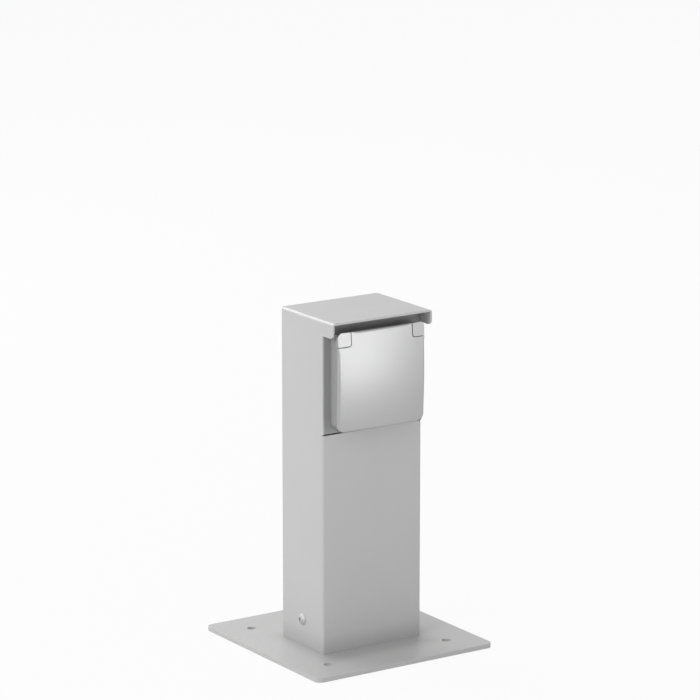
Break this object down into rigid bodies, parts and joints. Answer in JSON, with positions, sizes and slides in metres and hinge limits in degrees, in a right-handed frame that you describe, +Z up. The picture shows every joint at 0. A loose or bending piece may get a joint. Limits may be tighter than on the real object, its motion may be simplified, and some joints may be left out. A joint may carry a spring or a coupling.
{
  "type": "garden socket post",
  "caption": "Low square-edged garden post on a base plate, with one earthed socket outlet under a roof behind a sprung hinged lid.",
  "frame": {"origin": "centre of the base plate's underside", "axes": "+Z up, the outlet and its lid face -Y, +X to the right seen from the front"},
  "size_m": [0.152, 0.152, 0.25],
  "materials": {
    "plate_coat": "fine satin powder coat, silver grey",
    "post_coat": "fine satin powder coat, silver grey",
    "lid_plastic": "satin silver moulded plastic",
    "frame_plastic": "fine matt dark grey",
    "cover_plastic": "fine matt silver grey",
    "shutter_plastic": "plain moulded black grey",
    "insert_plastic": "plain moulded off-white",
    "zinc_steel": "bright zinc plated",
    "stainless": "plain stainless",
    "contact_brass": "tinned and plain brass",
    "seal_rubber": "soft black rubber",
    "wire_brown": "smooth wire sleeve",
    "wire_blue": "smooth wire sleeve",
    "wire_green_yellow": "smooth wire sleeve"
  },
  "bodies": {
    "post": {"base_plate": "plate_coat", "foot_bracket": "zinc_steel", "foot_screws": "zinc_steel", "foot_nuts": "zinc_steel", "cable_grommet": "seal_rubber", "housing": "post_coat", "side_screws": "stainless", "side_nuts": "zinc_steel", "mounting_bracket": "zinc_steel", "carrier_frame": "frame_plastic", "carrier_screws": "zinc_steel", "support_ring": "zinc_steel", "ring_rivets": "zinc_steel", "device_screws": "zinc_steel", "insert_body": "insert_plastic", "contact_live": "contact_brass", "contact_neutral": "contact_brass", "earth_clip": "contact_brass", "contact_screws": "zinc_steel", "socket_cover": "cover_plastic", "cover_screw": "zinc_steel", "shutter_spring": "stainless", "lid_spring": "stainless", "terminal_rail": "zinc_steel", "terminal_block": "insert_plastic", "terminal_sleeves": "contact_brass", "terminal_screws": "zinc_steel", "block_screws": "zinc_steel", "earth_stud": "zinc_steel", "earth_washers": "zinc_steel", "earth_nut": "zinc_steel", "wire_live": "wire_brown", "wire_neutral": "wire_blue", "wire_earth": "wire_green_yellow"},
    "flap": {"lid": "lid_plastic", "lid_seal": "seal_rubber", "hinge_cover_left": "lid_plastic", "hinge_cover_right": "lid_plastic", "hinge_pin": "stainless"},
    "shutter_disc": {"shutter": "shutter_plastic"}
  },
  "joints": [
    {"name": "lid_hinge", "type": "hinge", "parent": "post", "child": "flap", "pos_m": [0, -0.038, 0.237], "axis": [-1, 0, 0], "range_deg": [0, 95], "stiffness_Nm_per_rad": 0.008, "springref_deg": -85.94, "deforming": ["lid_spring"]},
    {"name": "shutter_turn", "type": "hinge", "parent": "post", "child": "shutter_disc", "pos_m": [0, -0.019, 0.20075], "axis": [0, -1, 0], "range_deg": [0, 45], "stiffness_Nm_per_rad": 0.001, "springref_deg": -22.92, "deforming": ["shutter_spring"]}
  ]
}
